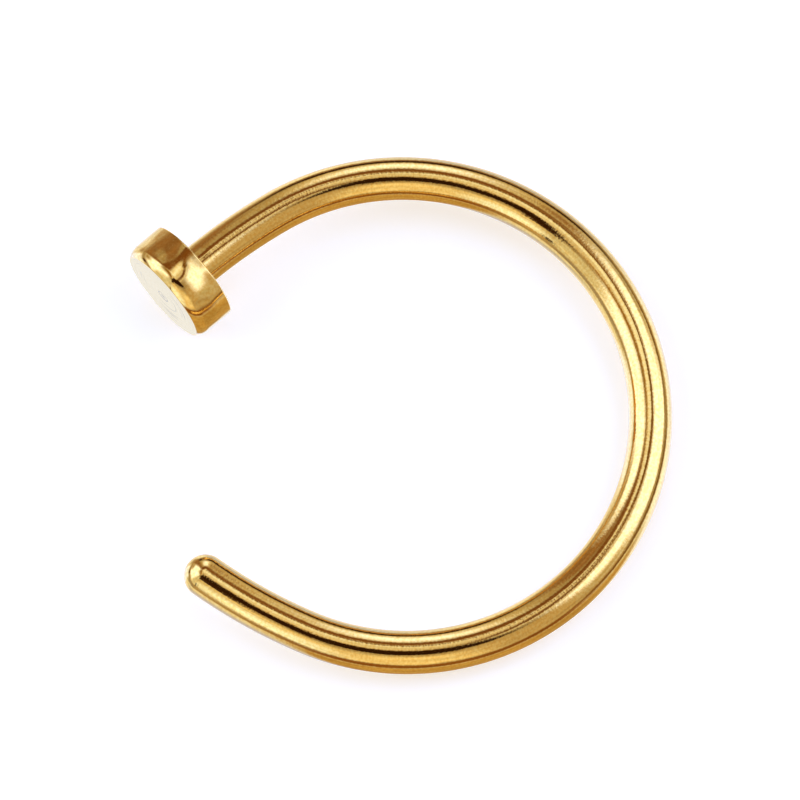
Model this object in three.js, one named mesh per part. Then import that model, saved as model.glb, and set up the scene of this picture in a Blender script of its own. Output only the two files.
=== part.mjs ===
// Open nose hoop: one length of round wire with a domed tip at one end and a flat disc soldered
// square across the other, bent into a hoop that a nostril's edge slips into.
// The blank is turned straight and then bent, as the real one is, so it is a single solid.
// Millimetres, +Z up. The hoop lies on its side as it comes to rest, on the disc's back rim and
// the far side of the wire, and the origin is the bottom centre of its bounding box.
import * as THREE from "three";

// Driving dimensions: lengths in millimetres, angles in degrees counter-clockwise from +X
const WIRE_DIAMETER = 0.8;
const HOOP_INNER_DIAMETER = 8.2;
const HOOP_ARC_START = -113.5;
const HOOP_ARC_END = 121.5;
const TIP_STRETCH_LENGTH = 2.12;
const TIP_STRETCH_RADIUS = 9.8;
const STEM_STRETCH_LENGTH = 1.86;
const STEM_STRETCH_RADIUS = 10.6;
const DISC_DIAMETER = 2.04;
const DISC_THICKNESS = 0.77;
const DISC_EDGE_RADIUS = 0.03;
const DISC_SHOULDER_RADIUS = 0.3;
const DISC_SHOULDER_SLOPE = 45;
const SOLDER_FILLET_RADIUS = 0.05;

// Facet sizes
const SIDES = 32;
const WIRE_STEP = 0.24;
const DOME_STEPS = 8;
const BACK_EDGE_STEPS = 4;
const SHOULDER_STEPS = 5;
const FACE_EDGE_STEPS = 2;
const FILLET_STEPS = 3;

// Sizes that follow from the driving ones
const WIRE_RADIUS = WIRE_DIAMETER / 2;
const DISC_RADIUS = DISC_DIAMETER / 2;
const HOOP_RADIUS = HOOP_INNER_DIAMETER / 2 + WIRE_RADIUS;
const ARC_ANGLE = THREE.MathUtils.degToRad(HOOP_ARC_END - HOOP_ARC_START);
const ARC_LENGTH = HOOP_RADIUS * ARC_ANGLE;
const WIRE_LENGTH = TIP_STRETCH_LENGTH + ARC_LENGTH + STEM_STRETCH_LENGTH;
const UP = new THREE.Vector3(0, 0, 1);

// A point and heading, a signed distance along a circle that turns left
function alongCircle(start, radius, distance) {
  const turn = distance / radius;
  const chord = 2 * radius * Math.sin(turn / 2);
  const chordHeading = start.heading + turn / 2;
  return {
    x: start.x + chord * Math.cos(chordHeading),
    y: start.y + chord * Math.sin(chordHeading),
    heading: start.heading + turn,
  };
}

function alongLine(start, distance) {
  return {
    x: start.x + distance * Math.cos(start.heading),
    y: start.y + distance * Math.sin(start.heading),
    heading: start.heading,
  };
}

// The bent wire's centre line in the hoop's own plane: flatter stretch, arc, flatter stretch
const arcStartAngle = THREE.MathUtils.degToRad(HOOP_ARC_START);
const arcStart = {
  x: HOOP_RADIUS * Math.cos(arcStartAngle),
  y: HOOP_RADIUS * Math.sin(arcStartAngle),
  heading: arcStartAngle + Math.PI / 2,
};
const arcEnd = alongCircle(arcStart, HOOP_RADIUS, ARC_LENGTH);
const tipStart = alongCircle(arcStart, TIP_STRETCH_RADIUS, -TIP_STRETCH_LENGTH);
const discStart = alongCircle(arcEnd, STEM_STRETCH_RADIUS, STEM_STRETCH_LENGTH);

// Where the centre line is at a distance from the dome's centre; dome and disc stay straight
function centreLine(distance) {
  if (distance < 0) return alongLine(tipStart, distance);
  if (distance < TIP_STRETCH_LENGTH)
    return alongCircle(tipStart, TIP_STRETCH_RADIUS, distance);
  const pastTip = distance - TIP_STRETCH_LENGTH;
  if (pastTip < ARC_LENGTH) return alongCircle(arcStart, HOOP_RADIUS, pastTip);
  const pastArc = pastTip - ARC_LENGTH;
  if (pastArc < STEM_STRETCH_LENGTH)
    return alongCircle(arcEnd, STEM_STRETCH_RADIUS, pastArc);
  return alongLine(discStart, pastArc - STEM_STRETCH_LENGTH);
}

// Points of an arc in a profile, from one angle to another, without its first point
function arc(centreX, centreY, radius, fromAngle, toAngle, steps) {
  return Array.from({ length: steps }, (_, i) => {
    const angle = fromAngle + ((toAngle - fromAngle) * (i + 1)) / steps;
    return new THREE.Vector2(
      centreX + radius * Math.cos(angle),
      centreY + radius * Math.sin(angle),
    );
  });
}

// The disc's rim: a small rounding at the back, a straight wall, and a shoulder that slopes in to
// the crisp edge of the face
function discRim() {
  const right = Math.PI / 2;
  const slope = THREE.MathUtils.degToRad(DISC_SHOULDER_SLOPE);
  const inset = DISC_SHOULDER_RADIUS - DISC_EDGE_RADIUS;
  const backFlat = DISC_RADIUS - DISC_EDGE_RADIUS;
  const backEdge = WIRE_LENGTH + DISC_EDGE_RADIUS;
  const shoulderCentre = DISC_RADIUS - DISC_SHOULDER_RADIUS;
  const faceFlat = shoulderCentre + inset * Math.cos(slope);
  const faceEdge = WIRE_LENGTH + DISC_THICKNESS - DISC_EDGE_RADIUS;
  const wallEnd = faceEdge - inset * Math.sin(slope);
  return [
    new THREE.Vector2(backFlat, WIRE_LENGTH),
    ...arc(backFlat, backEdge, DISC_EDGE_RADIUS, -right, 0, BACK_EDGE_STEPS),
    new THREE.Vector2(DISC_RADIUS, wallEnd),
    ...arc(shoulderCentre, wallEnd, DISC_SHOULDER_RADIUS, 0, slope, SHOULDER_STEPS),
    ...arc(faceFlat, faceEdge, DISC_EDGE_RADIUS, slope, right, FACE_EDGE_STEPS),
  ];
}

// The straight blank's profile: x is the radius and y the distance along it, from the dome's
// pole to the middle of the disc's face
function blankProfile() {
  const right = Math.PI / 2;
  const points = [new THREE.Vector2(0, -WIRE_RADIUS)];
  points.push(...arc(0, 0, WIRE_RADIUS, -right, 0, DOME_STEPS));
  const filletStart = WIRE_LENGTH - SOLDER_FILLET_RADIUS;
  const wireSteps = Math.ceil(filletStart / WIRE_STEP);
  for (let i = 1; i <= wireSteps; i++)
    points.push(new THREE.Vector2(WIRE_RADIUS, (filletStart * i) / wireSteps));
  points.push(
    ...arc(
      WIRE_RADIUS + SOLDER_FILLET_RADIUS,
      filletStart,
      SOLDER_FILLET_RADIUS,
      Math.PI,
      right,
      FILLET_STEPS,
    ),
  );
  points.push(...discRim());
  points.push(new THREE.Vector2(0, WIRE_LENGTH + DISC_THICKNESS));
  return points;
}

// Bends a blank turned about +Y: its +X becomes the hoop's outward side and its +Z stays up
function bend(geometry) {
  const position = geometry.getAttribute("position");
  for (let i = 0; i < position.count; i++) {
    const outward = position.getX(i);
    const { x, y, heading } = centreLine(position.getY(i));
    position.setXY(
      i,
      x + outward * Math.sin(heading),
      y - outward * Math.cos(heading),
    );
  }
  return geometry;
}

// The bent blank's centre of mass in the hoop's plane, from the profile's frustums
function centreOfMass(profile) {
  let volume = 0;
  const centre = new THREE.Vector2();
  for (let i = 1; i < profile.length; i++) {
    const [a, b] = [profile[i - 1], profile[i]];
    const slice = (b.y - a.y) * (a.x * a.x + a.x * b.x + b.x * b.x);
    const { x, y } = centreLine((a.y + b.y) / 2);
    volume += slice;
    centre.add(new THREE.Vector2(x, y).multiplyScalar(slice));
  }
  return centre.divideScalar(volume);
}

// How the hoop lies on its side: it stands on the disc's back rim and on the point of the wire
// that the line from that rim through the centre of mass runs to, and the plane under both is
// the common tangent of the disc's rounded edge and the wire
function restingTurn(profile) {
  const rim = centreLine(WIRE_LENGTH + DISC_EDGE_RADIUS);
  const foot = new THREE.Vector2(rim.x, rim.y);
  const line = centreOfMass(profile).sub(foot).normalize();
  const along = -foot.dot(line);
  const beyond = Math.sqrt(
    HOOP_RADIUS * HOOP_RADIUS - foot.lengthSq() + along * along,
  );
  const farPoint = foot.clone().addScaledVector(line, along + beyond);
  const downhill = farPoint.clone().normalize();
  const run = farPoint.clone().sub(foot).dot(downhill);
  const drop = DISC_RADIUS - DISC_EDGE_RADIUS;
  const tilt =
    Math.atan2(drop, run) -
    Math.asin((WIRE_RADIUS - DISC_EDGE_RADIUS) / Math.hypot(run, drop));
  const axis = new THREE.Vector3(downhill.x, downhill.y, 0).cross(UP).negate();
  return new THREE.Quaternion().setFromAxisAngle(axis, tilt);
}

const profile = blankProfile();
const polishedGold = new THREE.MeshStandardMaterial({
  color: 0xe0ad4a,
  roughness: 0.1,
  metalness: 1,
});
const hoop = new THREE.Mesh(
  bend(new THREE.LatheGeometry(profile, SIDES)),
  polishedGold,
);
hoop.name = "nose_hoop";
hoop.quaternion.copy(restingTurn(profile));

const noseRing = new THREE.Group();
noseRing.add(hoop);
const box = new THREE.Box3().setFromObject(noseRing, true);
const middle = box.getCenter(new THREE.Vector3());
hoop.position.set(-middle.x, -middle.y, -box.min.z);

export default noseRing;
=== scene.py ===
"""An open nose hoop of polished, gold-coated steel wire, lying on its side in a small light tent.

The hoop is turned straight as a blank and then bent round its centre line, as the real one is.
Lengths are millimetres until a mesh is made. Blender then holds metres, as the frame does.
"""

import math

import bpy
from mathutils import Matrix, Quaternion, Vector


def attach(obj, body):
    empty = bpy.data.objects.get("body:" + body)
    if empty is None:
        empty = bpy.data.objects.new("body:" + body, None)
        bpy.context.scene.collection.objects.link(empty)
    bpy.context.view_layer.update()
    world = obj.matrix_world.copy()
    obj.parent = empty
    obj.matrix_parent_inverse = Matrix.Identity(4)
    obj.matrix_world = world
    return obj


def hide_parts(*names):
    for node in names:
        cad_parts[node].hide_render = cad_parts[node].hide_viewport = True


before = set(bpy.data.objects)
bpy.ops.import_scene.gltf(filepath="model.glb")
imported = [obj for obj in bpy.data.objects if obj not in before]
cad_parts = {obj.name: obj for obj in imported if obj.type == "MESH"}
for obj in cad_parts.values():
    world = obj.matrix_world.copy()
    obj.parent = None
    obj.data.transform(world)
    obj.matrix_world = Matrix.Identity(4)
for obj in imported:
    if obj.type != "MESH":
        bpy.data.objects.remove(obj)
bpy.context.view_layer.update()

MM = 0.001

# The hoop's driving dimensions, as in the part
WIRE_DIAMETER = 0.8
HOOP_INNER_DIAMETER = 8.2
HOOP_ARC_START = math.radians(-113.5)
HOOP_ARC_END = math.radians(121.5)
TIP_STRETCH_LENGTH = 2.12
TIP_STRETCH_RADIUS = 9.8
STEM_STRETCH_LENGTH = 1.86
STEM_STRETCH_RADIUS = 10.6
DISC_DIAMETER = 2.04
DISC_THICKNESS = 0.77
DISC_EDGE_RADIUS = 0.03
DISC_SHOULDER_RADIUS = 0.3
DISC_SHOULDER_SLOPE = math.radians(45)
SOLDER_FILLET_RADIUS = 0.05

# Sizes that follow from the driving ones
WIRE_RADIUS = WIRE_DIAMETER / 2
DISC_RADIUS = DISC_DIAMETER / 2
HOOP_RADIUS = HOOP_INNER_DIAMETER / 2 + WIRE_RADIUS
ARC_LENGTH = HOOP_RADIUS * (HOOP_ARC_END - HOOP_ARC_START)
WIRE_LENGTH = TIP_STRETCH_LENGTH + ARC_LENGTH + STEM_STRETCH_LENGTH
SHOULDER_INSET = DISC_SHOULDER_RADIUS - DISC_EDGE_RADIUS
FACE_FLAT = DISC_RADIUS - DISC_SHOULDER_RADIUS + SHOULDER_INSET * math.cos(DISC_SHOULDER_SLOPE)

# The turned face: fine rings that a lathe tool leaves
FACE_RING_PITCH = 0.11
FACE_RING_DEPTH = 0.0016

# How finely the surface is meshed, so that a mirror finish shows no facets
SIDES = 128
WIRE_STEP = 0.07
CORNER_STEPS = 12
SHOULDER_STEPS = 24
DOME_STEPS = 40
FACE_STEP = 0.011


class Spot:
    """A point of the centre line in the hoop's plane, with its heading."""

    def __init__(self, x, y, heading):
        self.x, self.y, self.heading = x, y, heading

    def along_circle(self, radius, distance):
        turn = distance / radius
        chord = 2 * radius * math.sin(turn / 2)
        towards = self.heading + turn / 2
        x = self.x + chord * math.cos(towards)
        y = self.y + chord * math.sin(towards)
        return Spot(x, y, self.heading + turn)

    def along_line(self, distance):
        x = self.x + distance * math.cos(self.heading)
        y = self.y + distance * math.sin(self.heading)
        return Spot(x, y, self.heading)


ARC_FIRST = Spot(
    HOOP_RADIUS * math.cos(HOOP_ARC_START),
    HOOP_RADIUS * math.sin(HOOP_ARC_START),
    HOOP_ARC_START + math.pi / 2,
)
ARC_LAST = ARC_FIRST.along_circle(HOOP_RADIUS, ARC_LENGTH)
TIP_FIRST = ARC_FIRST.along_circle(TIP_STRETCH_RADIUS, -TIP_STRETCH_LENGTH)
DISC_FIRST = ARC_LAST.along_circle(STEM_STRETCH_RADIUS, STEM_STRETCH_LENGTH)


def centre_line(distance):
    """Where the centre line is at a distance from the dome's centre."""
    if distance < 0:
        return TIP_FIRST.along_line(distance)
    if distance < TIP_STRETCH_LENGTH:
        return TIP_FIRST.along_circle(TIP_STRETCH_RADIUS, distance)
    past_tip = distance - TIP_STRETCH_LENGTH
    if past_tip < ARC_LENGTH:
        return ARC_FIRST.along_circle(HOOP_RADIUS, past_tip)
    past_arc = past_tip - ARC_LENGTH
    if past_arc < STEM_STRETCH_LENGTH:
        return ARC_LAST.along_circle(STEM_STRETCH_RADIUS, past_arc)
    return DISC_FIRST.along_line(past_arc - STEM_STRETCH_LENGTH)


def arc(centre_x, centre_y, radius, from_angle, to_angle, steps):
    """Points of an arc in the profile, without its first one."""
    angles = [from_angle + (to_angle - from_angle) * (i + 1) / steps for i in range(steps)]
    return [(centre_x + radius * math.cos(a), centre_y + radius * math.sin(a)) for a in angles]


def wire_profile():
    """The domed tip and the wire, as (radius, distance along the blank)."""
    right = math.pi / 2
    points = arc(0, 0, WIRE_RADIUS, -right, 0, DOME_STEPS)
    fillet_start = WIRE_LENGTH - SOLDER_FILLET_RADIUS
    steps = math.ceil(fillet_start / WIRE_STEP)
    points += [(WIRE_RADIUS, fillet_start * (i + 1) / steps) for i in range(steps)]
    fillet_x = WIRE_RADIUS + SOLDER_FILLET_RADIUS
    points += arc(fillet_x, fillet_start, SOLDER_FILLET_RADIUS, math.pi, right, CORNER_STEPS)
    return points


def disc_profile():
    """The disc's back, its small back edge, straight wall, sloping shoulder and crisp face edge."""
    right = math.pi / 2
    slope = DISC_SHOULDER_SLOPE
    edge = DISC_EDGE_RADIUS
    back_flat = DISC_RADIUS - edge
    shoulder_centre = DISC_RADIUS - DISC_SHOULDER_RADIUS
    face_edge = WIRE_LENGTH + DISC_THICKNESS - edge
    wall_end = face_edge - SHOULDER_INSET * math.sin(slope)
    points = [(back_flat, WIRE_LENGTH)]
    points += arc(back_flat, WIRE_LENGTH + edge, edge, -right, 0, CORNER_STEPS)
    points += [(DISC_RADIUS, wall_end)]
    points += arc(shoulder_centre, wall_end, DISC_SHOULDER_RADIUS, 0, slope, SHOULDER_STEPS)
    points += arc(FACE_FLAT, face_edge, edge, slope, right, CORNER_STEPS)
    return points


def face_profile():
    """Rings from the face's edge to its middle, each a shallow wave in the flat."""
    face = WIRE_LENGTH + DISC_THICKNESS
    steps = round(FACE_FLAT / FACE_STEP)
    points = []
    for i in range(1, steps):
        radius = FACE_FLAT * (1 - i / steps)
        wave = 0.5 - 0.5 * math.cos(2 * math.pi * (FACE_FLAT - radius) / FACE_RING_PITCH)
        points.append((radius, face - FACE_RING_DEPTH * wave))
    return points


def resting_turn(profile):
    """How the hoop lies: on the disc's back rim and on the wire's far side."""
    volume = 0
    centre = Vector((0, 0))
    for (r0, d0), (r1, d1) in zip(profile, profile[1:]):
        slice_volume = (d1 - d0) * (r0 * r0 + r0 * r1 + r1 * r1)
        spot = centre_line((d0 + d1) / 2)
        volume += slice_volume
        centre += Vector((spot.x, spot.y)) * slice_volume
    rim = centre_line(WIRE_LENGTH + DISC_EDGE_RADIUS)
    foot = Vector((rim.x, rim.y))
    line = (centre / volume - foot).normalized()
    along = -foot.dot(line)
    beyond = math.sqrt(HOOP_RADIUS**2 - foot.length_squared + along**2)
    far_point = foot + line * (along + beyond)
    downhill = far_point.normalized()
    run = (far_point - foot).dot(downhill)
    drop = DISC_RADIUS - DISC_EDGE_RADIUS
    tilt = math.atan2(drop, run)
    tilt -= math.asin((WIRE_RADIUS - DISC_EDGE_RADIUS) / math.hypot(run, drop))
    axis = Vector((-downhill.y, downhill.x, 0))
    return Quaternion(axis, tilt)


def swept_mesh(name, profile):
    """The blank turned from its profile and bent, with the straight blank kept as an attribute."""
    points = []
    blank = []
    rings = [(0, -WIRE_RADIUS), *profile, (0, WIRE_LENGTH + DISC_THICKNESS)]
    for ring, (radius, distance) in enumerate(rings):
        spot = centre_line(distance)
        pole = ring in (0, len(rings) - 1)
        for side in range(1 if pole else SIDES):
            angle = 2 * math.pi * side / SIDES
            outward = radius * math.cos(angle)
            upward = radius * math.sin(angle)
            x = spot.x + outward * math.sin(spot.heading)
            y = spot.y - outward * math.cos(spot.heading)
            points.append(Vector((x, y, upward)))
            blank.append((outward, distance, upward))
    faces = [(0, 1 + (s + 1) % SIDES, 1 + s) for s in range(SIDES)]
    for ring in range(len(profile) - 1):
        low = 1 + ring * SIDES
        high = low + SIDES
        for side in range(SIDES):
            after = (side + 1) % SIDES
            faces.append((low + side, low + after, high + after, high + side))
    last = len(points) - 1
    low = last - SIDES
    faces += [(low + s, low + (s + 1) % SIDES, last) for s in range(SIDES)]
    mesh = bpy.data.meshes.new(name)
    mesh.from_pydata(points, [], faces)
    attribute = mesh.attributes.new("blank", "FLOAT_VECTOR", "POINT")
    attribute.data.foreach_set("vector", [value for point in blank for value in point])
    mesh.shade_smooth()
    return mesh


def colour(code, alpha=1.0):
    """An sRGB hex colour as linear numbers."""
    values = [int(code[i : i + 2], 16) / 255 for i in (1, 3, 5)]
    linear = [v / 12.92 if v <= 0.04045 else ((v + 0.055) / 1.055) ** 2.4 for v in values]
    return (*linear, alpha)


def add(tree, kind, settings=None, links=None):
    """Adds a node with its settings and links: an input is a value or another node's output."""
    node = tree.nodes.new(kind)
    for name, value in (settings or {}).items():
        setattr(node, name, value)
    for socket, value in (links or {}).items():
        if isinstance(value, bpy.types.NodeSocket):
            tree.links.new(value, node.inputs[socket])
        else:
            node.inputs[socket].default_value = value
    return node


def new_material(name):
    """A material with an empty node tree, and that tree."""
    material = bpy.data.materials.new(name)
    material.use_nodes = True
    material.node_tree.nodes.clear()
    return material, material.node_tree


# Marks in the metal, as real sizes in millimetres
TUMBLE_GRAIN = 0.05
GRAIN_DEPTH = 0.0012
DRAW_LINE_WIDTH = 0.03
DRAW_LINE_LENGTH = 1.6
POLISHING_DENT = 0.5
POLISHING_DENT_DEPTH = 0.055
# The face's dark hairlines are painted shade in the deeper cuts: their spacing and length
FACE_CUT_SPACING = 0.08
FACE_CUT_LENGTH = 0.7
# How strong the draw lines are beside the grain, and the share of both that the wheel left on
# the disc
DRAW_LINE_SHARE = 0.6
WHEEL_LEAVES = 0.2


def gold_coated_steel_polished():
    """Steel wire tumbled bright and coated: a deep yellow mirror, with soft lines along the wire
    left by drawing it and a fine sandy grain that breaks the edges of its reflections up. The
    disc was held to the wheel by hand, so it is smoother, and broad shallow dents bend what it
    mirrors."""
    material, tree = new_material("gold_coated_steel_polished")
    place = add(tree, "ShaderNodeAttribute", {"attribute_name": "blank"}).outputs["Vector"]
    stretch = (1 / DRAW_LINE_WIDTH, 1 / DRAW_LINE_LENGTH, 1 / DRAW_LINE_WIDTH)
    drawn = add(tree, "ShaderNodeMapping", {}, {"Vector": place, "Scale": stretch})
    lines = add(
        tree,
        "ShaderNodeTexNoise",
        {},
        {"Vector": drawn.outputs["Vector"], "Scale": 1.0, "Detail": 2.0},
    ).outputs["Fac"]
    grain = add(
        tree,
        "ShaderNodeTexNoise",
        {},
        {"Vector": place, "Scale": 1 / TUMBLE_GRAIN, "Detail": 2.0},
    ).outputs["Fac"]
    marks = add(
        tree,
        "ShaderNodeMath",
        {"operation": "MULTIPLY_ADD"},
        {0: lines, 1: DRAW_LINE_SHARE, 2: grain},
    ).outputs["Value"]
    along = add(tree, "ShaderNodeSeparateXYZ", {}, {"Vector": place}).outputs["Y"]
    on_disc = add(
        tree,
        "ShaderNodeMapRange",
        {},
        {"Value": along, "From Min": WIRE_LENGTH - WIRE_RADIUS, "From Max": WIRE_LENGTH},
    ).outputs["Result"]
    sand_left = add(
        tree, "ShaderNodeMapRange", {}, {"Value": on_disc, "To Min": 1.0, "To Max": WHEEL_LEAVES}
    ).outputs["Result"]
    sand = add(
        tree,
        "ShaderNodeBump",
        {},
        {
            "Strength": sand_left,
            "Distance": GRAIN_DEPTH * MM,
            "Height": marks,
        },
    ).outputs["Normal"]
    dents = add(
        tree,
        "ShaderNodeTexNoise",
        {},
        {"Vector": place, "Scale": 1 / POLISHING_DENT, "Detail": 0.0},
    ).outputs["Fac"]
    bump = add(
        tree,
        "ShaderNodeBump",
        {},
        {
            "Strength": on_disc,
            "Distance": POLISHING_DENT_DEPTH * MM,
            "Height": dents,
            "Normal": sand,
        },
    ).outputs["Normal"]
    rough = add(
        tree,
        "ShaderNodeMapRange",
        {},
        {"Value": grain, "From Min": 0.3, "From Max": 0.7, "To Min": 0.04, "To Max": 0.09},
    ).outputs["Result"]
    mottle = add(
        tree, "ShaderNodeMapRange", {}, {"Value": grain, "From Min": 0.35, "From Max": 0.65}
    ).outputs["Result"]
    gold = add(
        tree,
        "ShaderNodeMix",
        {"data_type": "RGBA"},
        {"Factor": mottle, 6: colour("#F5C264"), 7: colour("#FDD47C")},
    ).outputs[2]
    shader = add(
        tree,
        "ShaderNodeBsdfPrincipled",
        {},
        {"Base Color": gold, "Metallic": 1.0, "Roughness": rough, "Normal": bump},
    )
    add(tree, "ShaderNodeOutputMaterial", {}, {"Surface": shader.outputs["BSDF"]})
    return material


def gold_coated_steel_turned():
    """The disc's face as the lathe left it under the coating: paler and a little duller, with
    broken dark hairlines of painted shade where the tool cut deeper."""
    material, tree = new_material("gold_coated_steel_turned")
    place = add(tree, "ShaderNodeAttribute", {"attribute_name": "blank"}).outputs["Vector"]
    across = add(tree, "ShaderNodeVectorMath", {"operation": "MULTIPLY"}, {0: place, 1: (1, 0, 1)})
    radius = add(
        tree, "ShaderNodeVectorMath", {"operation": "LENGTH"}, {0: across.outputs["Vector"]}
    ).outputs["Value"]
    cuts = add(
        tree,
        "ShaderNodeTexNoise",
        {"noise_dimensions": "1D"},
        {"W": radius, "Scale": 1 / FACE_CUT_SPACING, "Detail": 1.0},
    ).outputs["Fac"]
    cut = add(
        tree, "ShaderNodeMapRange", {}, {"Value": cuts, "From Min": 0.56, "From Max": 0.68}
    ).outputs["Result"]
    breaks = add(
        tree,
        "ShaderNodeTexNoise",
        {},
        {"Vector": place, "Scale": 1 / FACE_CUT_LENGTH, "Detail": 1.0},
    ).outputs["Fac"]
    kept = add(
        tree, "ShaderNodeMapRange", {}, {"Value": breaks, "From Min": 0.42, "From Max": 0.62}
    ).outputs["Result"]
    # Painted shade: the deeper cuts are darkened in the colour as broken hairlines
    dark = add(tree, "ShaderNodeMath", {"operation": "MULTIPLY"}, {0: cut, 1: kept}).outputs["Value"]
    face_colour_and_groove_shade = add(
        tree,
        "ShaderNodeMix",
        {"data_type": "RGBA"},
        {"Factor": dark, 6: colour("#E8CB8D"), 7: colour("#7A6040")},
    ).outputs[2]
    grain = add(
        tree,
        "ShaderNodeTexNoise",
        {},
        {"Vector": place, "Scale": 1 / TUMBLE_GRAIN, "Detail": 3.0},
    ).outputs["Fac"]
    rough = add(
        tree,
        "ShaderNodeMapRange",
        {},
        {"Value": grain, "From Min": 0.3, "From Max": 0.7, "To Min": 0.16, "To Max": 0.24},
    ).outputs["Result"]
    shader = add(
        tree,
        "ShaderNodeBsdfPrincipled",
        {},
        {"Base Color": face_colour_and_groove_shade, "Metallic": 1.0, "Roughness": rough},
    )
    add(tree, "ShaderNodeOutputMaterial", {}, {"Surface": shader.outputs["BSDF"]})
    return material


def make_hoop():
    """The whole hoop as one mesh. Returns how its own plane lies in the scene, in millimetres."""
    wire = wire_profile()
    disc = disc_profile()
    face = face_profile()
    mesh = swept_mesh("hoop", wire + disc + face)
    mesh.materials.append(gold_coated_steel_polished())
    mesh.materials.append(gold_coated_steel_turned())
    first_face_ring = len(wire) + len(disc)
    turned_from = SIDES + (first_face_ring - 1) * SIDES
    for polygon in mesh.polygons[turned_from:]:
        polygon.material_index = 1
    turn = resting_turn(wire + disc).to_matrix().to_4x4()
    mesh.transform(turn)
    low = Vector([min(v.co[i] for v in mesh.vertices) for i in range(3)])
    high = Vector([max(v.co[i] for v in mesh.vertices) for i in range(3)])
    middle = (low + high) / 2
    place = Matrix.Translation((-middle.x, -middle.y, -low.z))
    mesh.transform(place)
    mesh.transform(Matrix.Scale(MM, 4))
    hoop = bpy.data.objects.new("hoop", mesh)
    bpy.context.scene.collection.objects.link(hoop)
    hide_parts("nose_hoop")
    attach(hoop, "root")
    return place @ turn


# The camera: a long lens, looking down on the hoop from in front
CAMERA_DISTANCE = 180.0
PICTURE_SIZE = 800
SENSOR_WIDTH = 36.0
PIXELS_PER_MM = 54.71
HOOP_CENTRE_IN_PICTURE = (404.6, 413.9)
HOOP_LEAN = math.radians(15.92)
HOOP_LEAN_AXIS = math.radians(-6.2)


def make_camera(hoop_place):
    """Stands the camera where the hoop's plane leans away from it as the photo shows."""
    axis = Vector((math.cos(HOOP_LEAN_AXIS), math.sin(HOOP_LEAN_AXIS), 0))
    lean = Matrix.Rotation(-HOOP_LEAN, 4, axis)
    aside = (PICTURE_SIZE / 2 - HOOP_CENTRE_IN_PICTURE[0]) / PIXELS_PER_MM
    above = (HOOP_CENTRE_IN_PICTURE[1] - PICTURE_SIZE / 2) / PIXELS_PER_MM
    stand = Matrix.Translation((aside, above, CAMERA_DISTANCE))
    place = hoop_place @ lean.inverted() @ stand
    data = bpy.data.cameras.new("camera")
    data.sensor_width = SENSOR_WIDTH
    data.lens = PIXELS_PER_MM * CAMERA_DISTANCE * SENSOR_WIDTH / PICTURE_SIZE
    data.clip_start = 0.01
    data.clip_end = 10
    camera = bpy.data.objects.new("camera", data)
    place.translation = place.translation * MM
    camera.matrix_world = place
    bpy.context.scene.collection.objects.link(camera)
    bpy.context.scene.camera = camera


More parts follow.
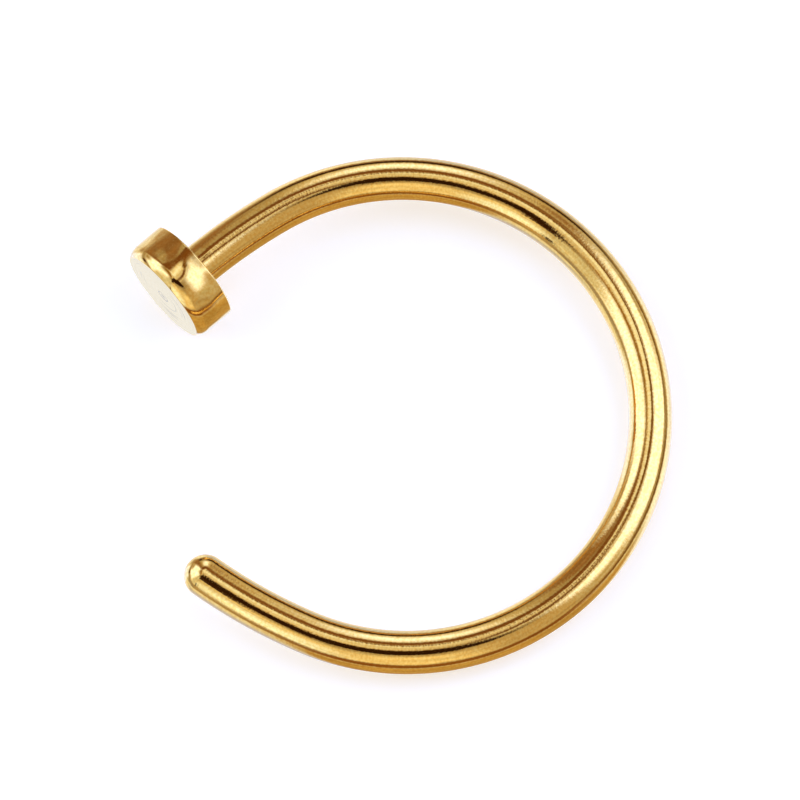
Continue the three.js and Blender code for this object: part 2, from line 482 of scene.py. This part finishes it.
# The light tent: a closed shell of lit cloth and cards round the hoop. Angles are in degrees, with
# azimuth clockwise from the far side as seen from above. Light is a card's brightness and feather
# the share of its width over which it fades out. A later card lies over an earlier one. The
# softboxes are cool, because the gold then mirrors them as pale cream.
TENT_RADIUS = 400.0
TENT_STEP = 1.5
TENT_LIGHT = 0.45
TENT_COLOUR = "#FFF4E4"
CARDS = (
    # name, azimuth from, to, elevation from, to, light, colour, feather
    ("ceiling", 0, 360, 66, 90, 0.95, "#F4F6FF", 0.10),
    ("ceiling light", -84, 50, 70, 89, 1.75, "#CCDCFF", 0.35),
    ("near ceiling", 84, 276, 72, 84, 0.45, "#FFE8C8", 0.30),
    ("right wall", 104, 172, -4, 62, 0.57, "#FFF0DA", 0.20),
    ("near wall", 144, 236, -2, 55, 0.97, "#FFFAEE", 0.22),
    ("near wall light", 188, 236, -8, 44, 2.3, "#BCD2FF", 0.42),
    ("left wall", -134, -96, -4, 58, 1.00, "#E8F0FF", 0.15),
    ("left softbox", -114, -36, 1, 65, 3.4, "#B4C6FF", 0.21),
    ("left softbox corner", -74, -30, -2, 26, 0.50, "#FFF0D8", 0.45),
    ("right softbox", 31, 126, 7, 72, 3.4, "#B4C6FF", 0.19),
    ("right softbox corner", 28, 74, 3, 35, 0.55, "#FFFAF0", 0.45),
    ("right softbox fall-off", 98, 130, 4, 44, 0.60, "#FFFAF0", 0.40),
    ("far wall", -22, 38, 14, 58, 0.60, "#FFFAF0", 0.20),
    ("far softbox", -16, 26, 14, 58, 3.2, "#B4C6FF", 0.42),
    ("table", 0, 360, -90, -4, 1.40, "#DAE6FD", 0.08),
    ("left of the table", -92, -48, -62, -3, 2.9, "#ADC1FF", 0.20),
    ("right of the table", 34, 110, -66, -6, 2.5, "#B3C6FF", 0.24),
    ("tan card on the table", 96, 222, -90, -8, 0.56, "#FFE0A2", 0.12),
    ("near side of the table", 208, 262, -90, -14, 1.35, "#B5C4FF", 0.30),
    ("near left of the table", 196, 250, -24, -4, 0.50, "#FFEEDC", 0.30),
    ("far side of the table", -14, 52, -34, -8, 1.4, "#B3C1FF", 0.35),
    ("far left of the table", -54, -18, -30, -5, 0.50, "#FFF0E8", 0.35),
    ("far horizon", -50, 50, -13, 3, 0.36, "#F8D8C8", 0.40),
    ("far dark band", -40, 56, -3, 15, 0.07, "#D89860", 0.25),
    ("right beam", 40, 76, -3, 11, 0.22, "#F4C898", 0.38),
    ("right low beam", 66, 136, -14, 4, 0.22, "#F4C898", 0.30),
    ("left top seam", -122, -34, 62.5, 75, 0.34, "#FFC868", 0.30),
    ("far top seam", -54, 46, 53, 72, 0.22, "#F8B070", 0.26),
    ("far left seam", -42, -22, -14, 66, 0.33, "#FFD0A8", 0.26),
    ("far right seam", 25, 37, 14, 60, 0.34, "#FFD8B8", 0.40),
    ("near left seam", -135.5, -130.5, -8, 22, 0.06, "#E0A070", 0.35),
    ("right top seam", 46, 136, 70, 80.5, 0.22, "#F4B880", 0.30),
    ("far right top seam", 8, 68, 66.5, 77.5, 0.20, "#FFC060", 0.28),
    ("camera hood", 124, 246, 57, 80.5, 0.03, "#FFAA59", 0.12),
    ("camera arm", 214, 234, 46, 64, 0.06, "#D08850", 0.25),
    ("near horizon", 106, 228, -22, 3, 0.26, "#FFB361", 0.25),
    ("left horizon", -82, -66, -8, 5, 0.12, "#E8A870", 0.30),
    ("left low horizon", -136, -84, -24, 4, 0.44, "#F4F0FF", 0.34),
)
# The cloth's soft folds: how far round the tent one goes, in degrees, and how they change its light
FOLD_ANGLE = 14.0
FOLD_DIM, FOLD_BRIGHT = 0.80, 1.14


def cover(value, low, high, feather):
    """How much of a card there is at a value between its sides, fading over its feather."""
    share = min(value - low, high - value) / (feather * (high - low))
    share = min(max(share, 0), 1)
    return share * share * (3 - 2 * share)


def tent_glow(azimuth, elevation):
    """The tent's light in one direction, as a colour. A card that reaches straight up or down
    doesn't fade out there."""
    glow = Vector(colour(TENT_COLOUR)[:3]) * TENT_LIGHT
    for _, az0, az1, el0, el1, light, code, feather in CARDS:
        turned = az0 + (azimuth - az0) % 360
        round_about = az1 - az0 == 360
        share = 1 if round_about else cover(turned, az0, az1, feather)
        top = el1 + (el1 - el0) if el1 == 90 else el1
        bottom = el0 - (el1 - el0) if el0 == -90 else el0
        share *= cover(elevation, bottom, top, feather)
        glow = glow.lerp(Vector(colour(code)[:3]) * light, share)
    return glow


def make_tent():
    """The shell as one mesh, with its glow as a colour at each point. Only the metal and the
    floor see it, so that it never stands in a view's way."""
    across = round(360 / TENT_STEP)
    upward = round(180 / TENT_STEP)
    points = []
    glows = []
    for j in range(upward + 1):
        elevation = -90 + TENT_STEP * j
        for i in range(across):
            azimuth = TENT_STEP * i
            angle, height = math.radians(azimuth), math.radians(elevation)
            x = math.sin(angle) * math.cos(height)
            y = math.cos(angle) * math.cos(height)
            points.append(Vector((x, y, math.sin(height))) * TENT_RADIUS * MM)
            glows += [*tent_glow(azimuth, elevation), 1.0]
    faces = []
    for j in range(upward):
        low = j * across
        high = low + across
        for i in range(across):
            after = (i + 1) % across
            faces.append((low + i, low + after, high + after, high + i))
    mesh = bpy.data.meshes.new("light_tent")
    mesh.from_pydata(points, [], faces)
    mesh.color_attributes.new("glow", "FLOAT_COLOR", "POINT").data.foreach_set("color", glows)
    material, tree = new_material("lit_tent_cloth")
    glow = add(tree, "ShaderNodeAttribute", {"attribute_name": "glow"}).outputs["Color"]
    place = add(tree, "ShaderNodeTexCoord").outputs["Object"]
    fold = TENT_RADIUS * MM * math.radians(FOLD_ANGLE)
    folds = add(
        tree, "ShaderNodeTexNoise", {}, {"Vector": place, "Scale": 1 / fold, "Detail": 3.0}
    ).outputs["Fac"]
    strength = add(
        tree,
        "ShaderNodeMapRange",
        {},
        {
            "Value": folds,
            "From Min": 0.3,
            "From Max": 0.7,
            "To Min": FOLD_DIM,
            "To Max": FOLD_BRIGHT,
        },
    ).outputs["Result"]
    light = add(tree, "ShaderNodeEmission", {}, {"Color": glow, "Strength": strength})
    add(tree, "ShaderNodeOutputMaterial", {}, {"Surface": light.outputs["Emission"]})
    material.cycles.emission_sampling = "NONE"
    mesh.materials.append(material)
    tent = bpy.data.objects.new("light_tent", mesh)
    tent.visible_camera = False
    bpy.context.scene.collection.objects.link(tent)


def make_studio():
    """The tent, and plain white past the floor's edge for a view from low down."""
    make_tent()
    world = bpy.data.worlds.new("studio")
    world.use_nodes = True
    world.node_tree.nodes["Background"].inputs["Color"].default_value = colour("#FFFFFF")
    world.cycles.sampling_method = "NONE"
    bpy.context.scene.world = world


FLOOR_RADIUS = 380.0
FLOOR_LAMP = 0.36


def make_floor():
    """A plain pale floor under the hoop, seen by the camera but not by the polished metal. It is
    an opal light table with its lamp turned low, so that shadows on it stay pale."""
    mesh = bpy.data.meshes.new("floor")
    sides = 64
    rim = [
        Vector((math.cos(2 * math.pi * i / sides), math.sin(2 * math.pi * i / sides), 0))
        for i in range(sides)
    ]
    mesh.from_pydata([point * FLOOR_RADIUS * MM for point in rim], [], [tuple(range(sides))])
    material, tree = new_material("opal_light_table")
    shader = add(
        tree,
        "ShaderNodeBsdfPrincipled",
        {},
        {
            "Base Color": colour("#F8F6E8"),
            "Roughness": 0.9,
            "Specular IOR Level": 0.1,
            "Emission Color": colour("#FFFFFF"),
            "Emission Strength": FLOOR_LAMP,
        },
    )
    add(tree, "ShaderNodeOutputMaterial", {}, {"Surface": shader.outputs["BSDF"]})
    mesh.materials.append(material)
    floor = bpy.data.objects.new("floor", mesh)
    floor.visible_glossy = False
    bpy.context.scene.collection.objects.link(floor)


hoop_place = make_hoop()
make_camera(hoop_place)
make_studio()
make_floor()
bpy.context.scene.view_settings.view_transform = "Standard"
